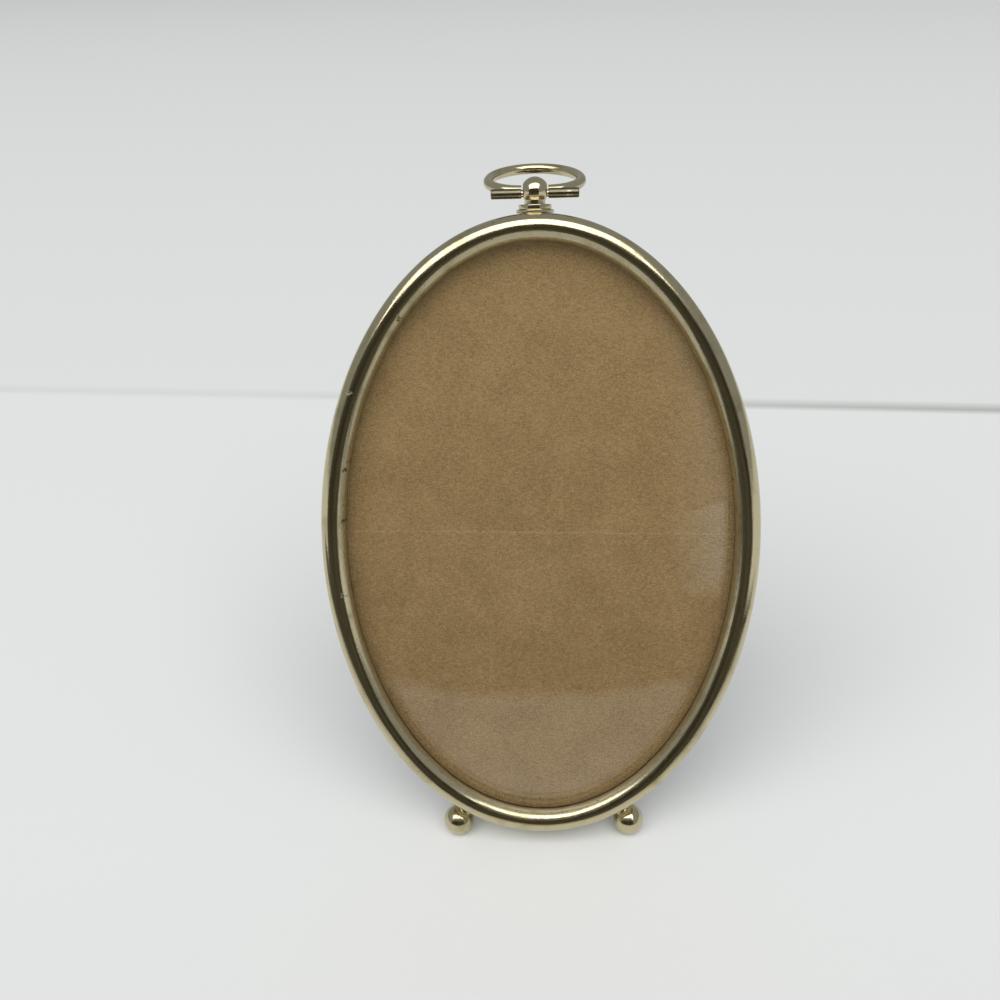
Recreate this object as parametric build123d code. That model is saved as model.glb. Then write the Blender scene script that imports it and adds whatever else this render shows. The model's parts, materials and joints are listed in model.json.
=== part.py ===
from build123d import *
from math import cos, radians, sin, sqrt
import os

# Oval tabletop picture frame with a ring on top, two ball feet and an easel leg.
# Lengths are millimetres and angles are degrees.
# The pieces are drawn upright: X across, Y back through the frame, Z up,
# with the origin at the oval's centre, level with the widest part of the bead.
# At the end the whole frame leans back onto its feet and leg.

# Moulding: one roll-formed strip with a hollow half-round bead
sight_width = 96.6
sight_height = 147.4
bead_radius = 3.1
sheet = 0.7
lip_depth = 1.1
flange_width = 3.2
flange_bend = 1.0
joint_plate_width = 16.0
joint_plate_depth = 5.0
joint_plate_sheet = 0.5
lean = 15.0

# Glass, card and back, in the order in which they go in
lip_cover = 2.5
glass_thickness = 2.0
glass_rise = 6.5
dome_inset = 0.3
insert_thickness = 1.5
insert_play = 0.3
board_thickness = 2.5
cover_thickness = 0.4

# Turn buttons: their tips swing out under the rear flange and hold the back in
button_turn = 50
button_sheet = 0.5
button_half = 2.5
button_inset = 7.0
button_tip_gap = 0.5
button_flange_gap = 0.3

# Threaded studs of the finial and the feet
stud_radius = 1.25
stud_play = 0.1
stud_end = 0.4
nut_across_flats = 5.0
nut_height = 1.9
nut_play = 0.15

# Finial: a drilled ball on a collar, above two washers
lower_washer_radius = 4.45
lower_washer_height = 0.75
upper_washer_radius = 3.85
upper_washer_height = 1.15
washer_edge = 0.2
collar_radius = 2.45
collar_blend = 0.5
knob_radius = 3.2
knob_centre = 3.05
knob_flat = 2.8
bar_height = 2.5

# Ring: a wire bow brazed to two sleeves on a pin through the ball
pin_radius = 0.85
running_play = 0.05
sleeve_radius = 1.15
bar_half = 10.25
side_gap = 0.35
wire_radius = 1.25
bow_radius = 11.15
bow_corner = 8.3
braze_bite = 0.08
bow_fold = 72.0
bar_chamfer = 0.15

# Ball feet
foot_turn = 21.1
foot_radius = 4.0
foot_neck = 2.05
foot_neck_radius = 1.9
foot_neck_blend = 0.8

# Easel leg and its hinge
hinge_height = 24.0
hinge_pin_radius = 0.7
leaf_sheet = 0.7
leaf_gap = 0.3
barrel_half = 10.0
middle_knuckle = 9.0
knuckle_gap = 0.3
back_leaf_length = 15.0
leg_leaf_length = 14.0
leg_leaf_half = 7.0
leaf_corner = 2.0
notch_play = 0.4
tongue_width = 5.0
tongue_length = 6.0
stop_gap = 0.05
rivet_radius = 1.0
rivet_head_radius = 1.9
rivet_head_height = 0.6
back_rivet_half = 6.0
back_rivet_rise = 9.5
leg_rivet_half = 4.0
leg_rivet_drop = 9.0
leg_clearance = 0.35
leg_board = 2.4
leg_cover = 0.3
leg_top_half = 9.0
leg_foot_half = 15.0
leg_top_drop = 2.0
leg_top_corner = 3.0
leg_open = 30.0
overrun = 3.0

# Sizes that follow from those above
half_width = sight_width / 2 + bead_radius
half_height = sight_height / 2 + bead_radius
rim_top = half_height + bead_radius
pack_width = sight_width / 2 + lip_cover
pack_height = sight_height / 2 + lip_cover
insert_front = lip_depth + glass_thickness
board_front = insert_front + insert_thickness
cover_front = board_front + board_thickness
back_face = cover_front + cover_thickness
rim_depth = back_face + button_sheet + button_flange_gap + sheet
stud_depth = rim_depth / 2
wall_inside = bead_radius - sheet
washer_top = rim_top + lower_washer_height + upper_washer_height
bar_level = washer_top + bar_height
sleeve_start = knob_flat + side_gap
bow_reach = bow_corner + sleeve_radius + wire_radius - braze_bite
leg_barrel = hinge_pin_radius + running_play + leaf_sheet
back_barrel = hinge_pin_radius + leaf_sheet
hinge_depth = back_face + leg_barrel + leaf_gap
leg_face = rim_depth + leg_clearance
leg_total = leg_board + 2 * leg_cover


def ellipse_plate(across, up, front, thickness):
    # A flat elliptical plate, its front face at the given depth
    face = Plane.XZ * Ellipse(across, up)
    return Pos(0, front, 0) * extrude(face, -thickness)


def rim_axis(turn):
    # The bead's centre line and the outward direction, at a turn round the ellipse from +X
    across = half_width * cos(radians(turn))
    up = half_height * sin(radians(turn))
    outward = Vector(half_height * cos(radians(turn)), 0, half_width * sin(radians(turn))).normalized()
    return Vector(across, 0, up), outward


def rim_place(turn, reach, depth):
    # Axes square to the rim, with Z outwards, at a reach from the bead's centre line
    centre, outward = rim_axis(turn)
    return Plane(centre + outward * reach + Vector(0, depth, 0), x_dir=(0, -1, 0), z_dir=outward)


def round_the_rim(section):
    # A flat section, X outwards and Y back, carried round the bead's centre line
    line = Edge.make_ellipse(half_width, half_height, plane=Plane.XZ)
    return sweep(Pos(half_width, 0, 0) * section, path=line)


def moulding_section():
    # Lip, half-round bead, straight wall and a rear flange turned in, all one sheet thick
    bend = flange_bend - sheet
    outline = [
        Line((-bead_radius, lip_depth), (-bead_radius, 0)),
        ThreePointArc((-bead_radius, 0), (0, -bead_radius), (bead_radius, 0)),
        Line((bead_radius, 0), (bead_radius, rim_depth - flange_bend)),
        CenterArc((bead_radius - flange_bend, rim_depth - flange_bend), flange_bend, 0, 90),
        Line((bead_radius - flange_bend, rim_depth), (bead_radius - flange_width, rim_depth)),
        Line((bead_radius - flange_width, rim_depth), (bead_radius - flange_width, rim_depth - sheet)),
        Line((bead_radius - flange_width, rim_depth - sheet), (bead_radius - flange_bend, rim_depth - sheet)),
        CenterArc((bead_radius - flange_bend, rim_depth - flange_bend), bend, 0, 90),
        Line((wall_inside, rim_depth - flange_bend), (wall_inside, 0)),
        ThreePointArc((wall_inside, 0), (0, -wall_inside), (-wall_inside, 0)),
        Line((-wall_inside, 0), (-wall_inside, lip_depth)),
        Line((-wall_inside, lip_depth), (-bead_radius, lip_depth)),
    ]
    return make_face(outline)


def stud_turns():
    # Where studs pass through the rim: the top, and the two feet
    return 90, 270 - foot_turn, 270 + foot_turn


def button_turns():
    # Upper right, upper left, lower left and lower right
    return button_turn, 180 - button_turn, 180 + button_turn, 360 - button_turn


def oval_moulding():
    ring = round_the_rim(moulding_section())
    for turn in stud_turns():
        drill = Cylinder(stud_radius + stud_play, 2 * overrun)
        ring -= rim_place(turn, bead_radius, stud_depth) * drill
    return ring


def band_pieces(section, turns, width):
    # Short lengths of a section that follows the rim, centred on each turn
    band = round_the_rim(section)
    pieces = []
    for turn in turns:
        window = Box(4 * rim_depth, width, 4 * bead_radius)
        piece = band & (rim_place(turn, 0, 0) * window)
        pieces += piece.solids()
    return pieces


def joint_plate():
    # The plate brazed inside the wall, over the meeting ends of the strip
    middle = wall_inside - joint_plate_sheet / 2
    section = Pos(middle, stud_depth) * Rectangle(joint_plate_sheet, joint_plate_depth)
    return band_pieces(section, [270], joint_plate_width)[0]


def glass_dome(back):
    # An elliptical cap, moved back by the given depth, from a ball scaled in two directions
    base_width = sight_width / 2 - dome_inset
    base_height = sight_height / 2 - dome_inset
    ball_radius = (base_width**2 + glass_rise**2) / (2 * glass_rise)
    ball = Pos(0, ball_radius - glass_rise, 0) * Sphere(ball_radius)
    keep = Pos(0, -base_width, 0) * Box(4 * base_width, 2 * base_width, 4 * base_width)
    cap = scale(ball & keep, by=(1, 1, base_height / base_width))
    return Pos(0, lip_depth + back, 0) * cap


def domed_glass():
    flange = ellipse_plate(pack_width, pack_height, lip_depth, glass_thickness)
    return flange + glass_dome(0) - glass_dome(glass_thickness)


def kraft_insert():
    return ellipse_plate(pack_width - insert_play, pack_height - insert_play, insert_front, insert_thickness)


def rivet_holes(places, reach):
    # Round bars through both faces, at places given as X and Z
    return [Pos(x, 0, z) * Rot(90, 0, 0) * Cylinder(rivet_radius, reach) for x, z in places]


def hinge_rivet_places():
    return [(side * back_rivet_half, hinge_height + back_rivet_rise) for side in (-1, 1)]


def button_place(turn):
    # On the rear face of the back, X along the button towards the rim
    centre, outward = rim_axis(turn)
    pivot = centre - outward * button_inset + Vector(0, back_face, 0)
    return Plane(pivot, x_dir=outward, z_dir=(0, 1, 0))


def button_rivet_places():
    places = []
    for turn in button_turns():
        pivot = button_place(turn).origin
        places.append((pivot.X, pivot.Z))
    return places


def board_rivet_places():
    return hinge_rivet_places() + button_rivet_places()


def back_board():
    across = pack_width - cover_thickness
    up = pack_height - cover_thickness
    board = ellipse_plate(across, up, board_front, board_thickness)
    board -= rivet_holes(board_rivet_places(), 4 * rim_depth)
    for x, z in board_rivet_places():
        sink = Pos(x, board_front, z) * Rot(90, 0, 0) * Cylinder(rivet_head_radius, 2 * rivet_head_height)
        board -= sink
    return board


def back_cover():
    # The covering is glued to the rear of the board and turned over its edge
    outer = ellipse_plate(pack_width, pack_height, board_front, board_thickness + cover_thickness)
    inner = ellipse_plate(
        pack_width - cover_thickness, pack_height - cover_thickness, board_front, board_thickness
    )
    return outer - inner - rivet_holes(board_rivet_places(), 4 * rim_depth)


def hex_nut():
    # Z outwards; the nut lies under the origin
    body = extrude(RegularPolygon(nut_across_flats / 2, 6, major_radius=False), -nut_height)
    return body - Cylinder(stud_radius, 4 * nut_height)


def stud(length):
    return Pos(0, 0, -length / 2) * Cylinder(stud_radius, length)


def nut_place(turn):
    return rim_place(turn, wall_inside - nut_play, stud_depth)


def washer(radius, height):
    # A flat washer standing on the origin, its outer edges eased
    disc = Pos(0, 0, height / 2) * Cylinder(radius, height)
    edges = disc.edges().filter_by(GeomType.CIRCLE)
    disc = chamfer(edges, washer_edge)
    return disc - Cylinder(stud_radius + stud_play, 4 * height)


def finial_lower_washer():
    return Pos(0, stud_depth, rim_top) * washer(lower_washer_radius, lower_washer_height)


def finial_upper_washer():
    return Pos(0, stud_depth, rim_top + lower_washer_height) * washer(upper_washer_radius, upper_washer_height)


def ball_on_stem(ball_radius, ball_height, stem_radius, blend):
    # A turned ball on a stem that stands on the origin, blended where they meet
    stem = Pos(0, 0, ball_height / 2) * Cylinder(stem_radius, ball_height)
    body = Pos(0, 0, ball_height) * Sphere(ball_radius) + stem
    rings = body.edges().filter_by(GeomType.CIRCLE).filter_by(lambda edge: edge.is_closed)
    return fillet(rings.sort_by(Axis.Z)[-1], blend)


def finial_knob():
    # Turned in one piece: ball, collar and stud; flats and cross hole are cut after
    ball = ball_on_stem(knob_radius, knob_centre, collar_radius, collar_blend)
    ball &= Pos(0, 0, knob_centre) * Box(2 * knob_flat, 4 * knob_radius, 4 * knob_radius)
    stud_length = washer_top - half_height - wall_inside + nut_play + nut_height + stud_end
    knob = ball + stud(stud_length)
    knob -= Pos(0, 0, bar_height) * Rot(0, 90, 0) * Cylinder(pin_radius + running_play, 4 * knob_radius)
    return Pos(0, stud_depth, washer_top) * knob


def ball_foot(turn):
    # Turned in one piece: ball, neck and stud, square to the rim
    ball = ball_on_stem(foot_radius, foot_neck + foot_radius, foot_neck_radius, foot_neck_blend)
    foot = ball + stud(sheet + nut_play + nut_height + stud_end)
    return rim_place(turn, bead_radius, stud_depth) * foot


def foot_nuts():
    left, right = stud_turns()[1:]
    return Compound(children=[nut_place(left) * hex_nut(), nut_place(right) * hex_nut()])


def bar_place():
    # The ring's pin lies along X; the bow is drawn standing up, then folded back
    return Pos(0, stud_depth, bar_level) * Rot(-bow_fold, 0, 0)


def bar_pin():
    pin = Rot(0, 90, 0) * Cylinder(pin_radius, 2 * bar_half)
    return bar_place() * pin


def bar_sleeve(side):
    length = bar_half - sleeve_start
    tube = Cylinder(sleeve_radius, length)
    tube = chamfer(tube.edges().filter_by(GeomType.CIRCLE), bar_chamfer)
    tube -= Cylinder(pin_radius, 2 * length)
    middle = side * (sleeve_start + length / 2)
    return bar_place() * Pos(middle, 0, 0) * Rot(0, 90, 0) * tube


def ring_bow():
    # A round loop whose front corners are tighter, so that its ends run in behind the bar
    corner_across = bow_radius - bow_corner
    start = sleeve_start - corner_across
    clip = 90 * start / (bow_corner * radians(90))
    right = CenterArc((corner_across, bow_reach), bow_corner, clip - 90, 90 - clip)
    top = CenterArc((0, bow_reach), bow_radius, 0, 180)
    left = CenterArc((-corner_across, bow_reach), bow_corner, 180, 90 - clip)
    line = Plane.XZ * Wire([right.edge(), top.edge(), left.edge()])
    section = Plane(line @ 0, z_dir=line % 0) * Circle(wire_radius)
    bow = sweep(section, path=line)
    bow -= Rot(0, 90, 0) * Cylinder(sleeve_radius, 2 * bar_half)
    return bar_place() * bow


def leaf_plate(half, top, bottom, front):
    # A leaf's plate with the two corners away from its barrel rounded
    height = abs(top - bottom)
    plate = Pos(0, front + leaf_sheet / 2, (top + bottom) / 2) * Box(2 * half, leaf_sheet, height)
    corners = plate.edges().filter_by(Axis.Y).sort_by(Axis.Z)
    chosen = corners[-2:] if top > 0 else corners[:2]
    return fillet(chosen, leaf_corner)


def barrel(radius, bore, start, end):
    # A length of rolled knuckle along X
    length = end - start
    tube = Cylinder(radius, length) - Cylinder(bore, 2 * length)
    return Pos((start + end) / 2, 0, 0) * Rot(0, 90, 0) * tube


def hinge_place():
    return Pos(0, hinge_depth, hinge_height)


def back_hinge_leaf():
    # The plate rises from two outer knuckles, with a notch for the middle one
    front = back_face - hinge_depth
    leaf = leaf_plate(barrel_half, back_leaf_length, 0, front)
    notch_half = middle_knuckle / 2 + knuckle_gap
    notch_top = leg_barrel + notch_play
    leaf -= Pos(0, front, 0) * Box(2 * notch_half, 4 * leaf_sheet, 2 * notch_top)
    for side in (-1, 1):
        start, end = sorted((side * notch_half, side * barrel_half))
        leaf += barrel(back_barrel, hinge_pin_radius, start, end)
    leaf = hinge_place() * leaf
    return leaf - rivet_holes(hinge_rivet_places(), 4 * rim_depth)


def hinge_pin():
    return hinge_place() * Rot(0, 90, 0) * Cylinder(hinge_pin_radius, 2 * barrel_half)


def domed_head(depth, facing):
    # A low rivet head standing on a face at the given depth, towards +Y or -Y
    ball_radius = (rivet_head_radius**2 + rivet_head_height**2) / (2 * rivet_head_height)
    ball = Pos(0, facing * (rivet_head_height - ball_radius), 0) * Sphere(ball_radius)
    keep = Pos(0, facing * rivet_head_radius, 0) * Box(
        4 * rivet_head_radius, 2 * rivet_head_radius, 4 * rivet_head_radius
    )
    return Pos(0, depth, 0) * (ball & keep)


def shank(front, back):
    length = back - front
    return Pos(0, front + length / 2, 0) * Rot(90, 0, 0) * Cylinder(rivet_radius, length)


def board_rivets(places, plate):
    # Domed behind a plate on the back, clenched flush in the front of the board
    head = domed_head(back_face + plate, 1)
    clench = Pos(0, board_front + rivet_head_height / 2, 0) * Rot(90, 0, 0)
    clench = clench * Cylinder(rivet_head_radius, rivet_head_height)
    rivet = head + shank(board_front, back_face + plate) + clench
    return Compound(children=[Pos(x, 0, z) * rivet for x, z in places])


def turn_button(turn):
    # A flat plate with round ends that turns on its rivet
    reach = button_inset + wall_inside - button_tip_gap - button_half
    plate = Rectangle(reach, 2 * button_half)
    plate = Pos(reach / 2, 0) * plate + Circle(button_half) + Pos(reach, 0) * Circle(button_half)
    plate -= Circle(rivet_radius + running_play)
    return extrude(button_place(turn) * plate, button_sheet)


def open_leg(piece):
    # Swings a piece of the folded leg out round the hinge pin
    return hinge_place() * Rot(leg_open, 0, 0) * hinge_place().inverse() * piece


def leg_rivet_places():
    return [(side * leg_rivet_half, hinge_height - leg_rivet_drop) for side in (-1, 1)]


def leg_hinge_leaf():
    # The plate hangs from the middle knuckle; the tongue above it meets the back leaf when open
    front = leg_face - leaf_sheet - hinge_depth
    start = hinge_pin_radius + running_play + leaf_sheet / 2
    leaf = leaf_plate(leg_leaf_half, -start, -start - leg_leaf_length, front)
    shoulder = leg_top_drop
    for side in (-1, 1):
        width = leg_leaf_half
        middle = side * (middle_knuckle / 2 + width / 2)
        leaf -= Pos(middle, front, -start) * Box(width, 4 * leaf_sheet, 2 * (shoulder - start))
    leaf += barrel(leg_barrel, hinge_pin_radius + running_play, -middle_knuckle / 2, middle_knuckle / 2)
    leaf = hinge_place() * leaf - rivet_holes(leg_rivet_places(), 4 * rim_depth)
    tongue_front = back_face + leaf_sheet + stop_gap
    tongue_height = tongue_length - start
    tongue = Pos(0, tongue_front + leaf_sheet / 2, hinge_height + start + tongue_height / 2)
    tongue = tongue * Box(tongue_width, leaf_sheet, tongue_height)
    tongue -= hinge_place() * Rot(0, 90, 0) * Cylinder(hinge_pin_radius + running_play, 2 * barrel_half)
    return open_leg(leaf) + tongue


def leg_outline(grow):
    # A strut that widens towards its foot, grown by a wrap on its sides
    top = hinge_height - leg_top_drop
    foot = -half_height - bead_radius - foot_neck - 2 * foot_radius
    outline = Polyline(
        (-leg_top_half - grow, top),
        (leg_top_half + grow, top),
        (leg_foot_half + grow, foot),
        (-leg_foot_half - grow, foot),
        close=True,
    )
    face = make_face(outline)
    tops = face.vertices().sort_by(Axis.Y)[-2:]
    return fillet(tops, leg_top_corner + grow)


def leg_slab(grow, front, thickness):
    slab = extrude(Plane.XZ * leg_outline(grow), -thickness)
    slab = Pos(0, front, 0) * slab
    return slab - rivet_holes(leg_rivet_places(), 4 * rim_depth)


def leg_board_piece():
    return open_leg(leg_slab(-leg_cover, leg_face + leg_cover, leg_board))


def leg_cover_piece():
    # The covering is wrapped round the board's two faces and long edges
    outer = leg_slab(0, leg_face, leg_total)
    inner = leg_slab(-leg_cover, leg_face + leg_cover, leg_board)
    return open_leg(outer - inner)


def leg_hinge_rivets():
    # Domed over the leaf and again behind the leg
    near = domed_head(leg_face - leaf_sheet, -1)
    far = domed_head(leg_face + leg_total, 1)
    rivet = near + shank(leg_face - leaf_sheet, leg_face + leg_total) + far
    return open_leg(Compound(children=[Pos(x, 0, z) * rivet for x, z in leg_rivet_places()]))


def stand_on_table(pieces):
    # Lean the frame back, set its feet on the table and centre it front to back
    tilt = Rot(-lean, 0, 0)
    leaned = {name: tilt * piece for name, piece in pieces.items()}
    table = leaned["left_foot"].bounding_box().min.Z
    reach = 4 * rim_top
    below = Pos(0, 0, table - reach / 2) * Box(reach, reach, reach)
    for name in ("leg_board", "leg_cover"):
        leaned[name] = leaned[name] - below
    boxes = [piece.bounding_box() for piece in leaned.values()]
    front = min(box.min.Y for box in boxes)
    back = max(box.max.Y for box in boxes)
    move = Pos(0, -(front + back) / 2, -table)
    return {name: move * piece for name, piece in leaned.items()}, move * tilt


pieces = {
    "oval_moulding": oval_moulding(),
    "moulding_joint_plate": joint_plate(),
    "domed_glass": domed_glass(),
    "kraft_insert": kraft_insert(),
    "back_board": back_board(),
    "back_cover": back_cover(),
    "finial_lower_washer": finial_lower_washer(),
    "finial_upper_washer": finial_upper_washer(),
    "finial_knob": finial_knob(),
    "finial_nut": nut_place(90) * hex_nut(),
    "ring_pin": bar_pin(),
    "left_ring_sleeve": bar_sleeve(-1),
    "right_ring_sleeve": bar_sleeve(1),
    "ring_bow": ring_bow(),
    "left_foot": ball_foot(stud_turns()[1]),
    "right_foot": ball_foot(stud_turns()[2]),
    "foot_nuts": foot_nuts(),
    "back_hinge_leaf": back_hinge_leaf(),
    "back_hinge_rivets": board_rivets(hinge_rivet_places(), leaf_sheet),
    "hinge_pin": hinge_pin(),
    "leg_hinge_leaf": leg_hinge_leaf(),
    "leg_hinge_rivets": leg_hinge_rivets(),
    "leg_board": leg_board_piece(),
    "leg_cover": leg_cover_piece(),
    "turn_button_rivets": board_rivets(button_rivet_places(), button_sheet),
    "upper_right_turn_button": turn_button(button_turns()[0]),
    "upper_left_turn_button": turn_button(button_turns()[1]),
    "lower_left_turn_button": turn_button(button_turns()[2]),
    "lower_right_turn_button": turn_button(button_turns()[3]),
}

standing, stance = stand_on_table(pieces)
os.makedirs("parts", exist_ok=True)
for name, piece in standing.items():
    export_step(piece, f"parts/{name}.step")

ring_axis = (stance * Pos(0, stud_depth, bar_level)).position
leg_axis = (stance * hinge_place()).position
print("ring turns about X at", ring_axis)
print("leg turns about X at", leg_axis)
for name in ("ring_bow", "left_foot", "leg_board"):
    box = standing[name].bounding_box()
    print(name, "from", box.min, "to", box.max)
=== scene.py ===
import bpy
import json
import numpy as np
from math import atan2, cos, degrees, pi, radians, sin, sqrt
from mathutils import Matrix, Vector


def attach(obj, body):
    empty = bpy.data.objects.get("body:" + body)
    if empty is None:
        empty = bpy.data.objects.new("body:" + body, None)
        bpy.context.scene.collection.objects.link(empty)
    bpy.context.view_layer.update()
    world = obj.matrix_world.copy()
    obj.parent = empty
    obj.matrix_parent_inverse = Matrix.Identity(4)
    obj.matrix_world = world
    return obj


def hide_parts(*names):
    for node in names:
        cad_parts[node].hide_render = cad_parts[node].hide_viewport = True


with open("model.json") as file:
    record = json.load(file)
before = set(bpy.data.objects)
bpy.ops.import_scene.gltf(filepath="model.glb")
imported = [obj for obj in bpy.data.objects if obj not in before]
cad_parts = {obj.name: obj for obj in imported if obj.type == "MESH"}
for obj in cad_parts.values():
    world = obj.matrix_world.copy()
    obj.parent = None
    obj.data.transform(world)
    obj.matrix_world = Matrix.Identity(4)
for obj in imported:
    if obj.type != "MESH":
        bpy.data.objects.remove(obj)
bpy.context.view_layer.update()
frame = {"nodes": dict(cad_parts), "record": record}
print("frame loaded:", len(frame["nodes"]), "pieces")

# The pieces are drawn upright in millimetres: x across, y back through the frame, z up,
# from the oval's centre. standing() leans them back and sets them where the CAD stands.
stance = {
    "lean": 15.0,        # degrees
    "barHeight": 84.3,   # of the ring's bar above the oval's centre
    "barDepth": 4.5,     # of the bar behind the bead's centre
}

joints = {joint["name"]: joint for joint in frame["record"]["behaviour"]["joints"]}


def standing(points):
    # turns about x by the lean, then moves so that the ring's bar is on its joint
    lean = radians(stance["lean"])
    x, y, z = np.moveaxis(np.asarray(points, float), -1, 0)
    y = y - stance["barDepth"]
    z = z - stance["barHeight"]
    leaned = np.stack([x, y * cos(lean) + z * sin(lean), z * cos(lean) - y * sin(lean)], -1)
    return leaned / 1000 + np.array(joints["ring_pivot"]["pos_m"])


def linear(code):
    # sRGB hex to linear light
    levels = np.array([int(code[i:i + 2], 16) for i in (1, 3, 5)]) / 255
    levels = np.where(levels <= 0.04045, levels / 12.92, ((levels + 0.055) / 1.055) ** 2.4)
    return (*levels.tolist(), 1.0)


def addNode(tree, kind, settings=None, inputs=None):
    # one node with its settings; an input takes a value or the socket that feeds it
    node = tree.nodes.new(kind)
    for key, value in (settings or {}).items():
        if key == "stops":
            while len(node.color_ramp.elements) < len(value):
                node.color_ramp.elements.new(0.5)
            for element, (place, colour) in zip(node.color_ramp.elements, value):
                element.position = place
                element.color = colour
        else:
            setattr(node, key, value)
    for key, value in (inputs or {}).items():
        if isinstance(value, bpy.types.NodeSocket):
            tree.links.new(value, node.inputs[key])
        else:
            node.inputs[key].default_value = value
    return node


def newMaterial(name):
    # a material with nothing but its main shader, its node tree and that shader
    material = bpy.data.materials.new(name)
    material.use_nodes = True
    tree = material.node_tree
    tree.nodes.clear()
    shader = addNode(tree, "ShaderNodeBsdfPrincipled")
    addNode(tree, "ShaderNodeOutputMaterial", None, {"Surface": shader.outputs[0]})
    return material, tree, shader


def millimetres(tree, stretch=(1.0, 1.0, 1.0)):
    # object coordinates turned upright, in millimetres from the oval's centre: across, back, up
    place = addNode(tree, "ShaderNodeTexCoord").outputs["Object"]
    lean = radians(stance["lean"])
    centre = Vector(standing([[0, 0, 0]])[0])
    turned = Matrix.Rotation(lean, 3, "X") @ centre
    upright = addNode(tree, "ShaderNodeMapping", None, {
        "Vector": place, "Location": turned * -1000, "Rotation": (lean, 0, 0),
        "Scale": (1000, 1000, 1000)}).outputs[0]
    if stretch == (1.0, 1.0, 1.0):
        return upright
    return addNode(tree, "ShaderNodeMapping", None, {"Vector": upright, "Scale": stretch}).outputs[0]


# Shapes: every new piece is one or more closed grids of points

def surface(name, shells, material, slot, body, *nodes, strip=None):
    # Each shell is a grid of points (rows, columns, 3) in upright millimetres: columns always close
    # on themselves, rows close where "loop" is set, otherwise a point closes each end. strip holds
    # the lengths along and around the first shell, for its own coordinates.
    allPoints, allFaces, offset, flipped = [], [], 0, False
    for grid, loop in shells:
        grid = np.asarray(grid, float)
        rows, columns = grid.shape[:2]
        index = offset + np.arange(rows * columns).reshape(rows, columns)
        top = index if loop else index[:-1]
        bottom = np.roll(index, -1, 0) if loop else index[1:]
        quads = np.stack([top, np.roll(top, -1, 1), np.roll(bottom, -1, 1), bottom], -1).reshape(-1, 4)
        points = grid.reshape(-1, 3)
        if not loop:
            first, last = offset + len(points), offset + len(points) + 1
            points = np.concatenate([points, [grid[0].mean(0)], [grid[-1].mean(0)]])
            start, end = index[0], index[-1]
            startCap = np.stack([np.full(columns, first), np.roll(start, -1), start, start], -1)
            endCap = np.stack([np.full(columns, last), end, np.roll(end, -1), np.roll(end, -1)], -1)
            quads = np.concatenate([quads, startCap, endCap])
        # six times the volume, from both triangles of each face: below zero, the faces point inwards
        a, b, c, d = (points[quads[:, k] - offset] for k in range(4))
        if (a * (np.cross(b, c) + np.cross(c, d))).sum() < 0:
            quads = quads[:, ::-1]
            flipped = True
        allPoints.append(points)
        allFaces.append(quads)
        offset += len(points)
    points = standing(np.concatenate(allPoints))
    faces = [tuple(dict.fromkeys(face)) for face in np.concatenate(allFaces).tolist()]
    mesh = bpy.data.meshes.new(name)
    mesh.from_pydata(points.tolist(), [], faces)
    mesh.polygons.foreach_set("use_smooth", np.ones(len(faces), bool))
    mesh.set_sharp_from_angle(angle=radians(40))
    if strip is not None:
        along, around = strip
        near = np.meshgrid(along[:-1], around[:-1], indexing="ij")
        far = np.meshgrid(along[1:], around[1:], indexing="ij")
        corners = [(near[0], near[1]), (near[0], far[1]), (far[0], far[1]), (far[0], near[1])]
        layout = np.stack([np.stack(corner, -1) for corner in corners], 2).reshape(-1, 4, 2)
        layout = layout[:, ::-1] if flipped else layout
        mesh.uv_layers.new(name="strip").data.foreach_set("uv", layout.astype(np.float32).ravel())
    mesh.materials.append(material)
    mesh.update()
    piece = bpy.data.objects.new(name, mesh)
    bpy.context.scene.collection.objects.link(piece)
    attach(piece, body)
    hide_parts(*nodes)
    print("made", name, len(faces), "faces")
    return piece


def arc(across, back, radius, start, end, count):
    # points on a circle from one angle to another, the ends included
    turn = np.radians(np.linspace(start, end, count))
    return np.stack([across + radius * np.cos(turn), back + radius * np.sin(turn)], -1)


def spun(profile, columns):
    # (radius, height) pairs turned about z
    turn = np.linspace(0, 2 * pi, columns, endpoint=False)
    radius, height = profile[:, 0, None], profile[:, 1, None]
    return np.stack([radius * np.cos(turn), radius * np.sin(turn), height + 0 * turn], -1)


def placed(grid, origin, xAxis, yAxis, zAxis):
    # a grid drawn on its own axes, put on other axes
    return np.asarray(origin) + grid @ np.array([xAxis, yAxis, zAxis])


def ripple(along, across, seed, count):
    # a sum of long sine waves with random directions and phases, about -1 to 1
    random = np.random.default_rng(seed)
    total = 0
    for _ in range(count):
        total = total + np.sin(random.integers(2, 26) * along + random.uniform(-1.5, 1.5) * across
                               + random.uniform(0, 2 * pi))
    return total / sqrt(count)


# Materials

plating = {
    "colour": "#c8bd9b",
    "worn": "#9d9269",
    # at full wear: the worn colour, made darker with painted shade
    "rubbedAndShaded": "#746f5b",
    "pit": "#3a3020",
    "roughness": 0.12,
    "patch": 7.0,        # mm across a duller patch
    "grain": 0.5,        # mm, the plating's fine unevenness
    "pitSize": 0.9,      # mm between possible pits
    "pull": 14.0,        # mm, length of the marks that the bending rolls leave
    "pullWidth": 0.22,   # mm
    # painted shade at the lip, where it meets the glass: its colour, where it ends and how much it hides
    "lipShade": "#2b2114",
    "lipShadeEnd": 2.1,   # mm round the strip from its lip, where the dark ends
    "lipShadeDepth": 0.85,   # share of the plating's colour that it hides
    "dullEdge": (2.0, 5.0),   # mm round the strip, where its dull edge begins and ends to clear
    "duller": 0.3,       # of roughness, added at that edge
    "wornFrom": (0.50, 0.72),   # of the patches' noise, where wear begins and is full
    "wornDepth": 0.75,   # share of the worn colour where wear is full
    "pitFrom": (0.735, 0.775),   # of the pits' noise: higher makes them fewer
    "pitDepth": 0.8,
    "ragged": 3.2,       # mm, how far a knock's outline is pulled about
}

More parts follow.
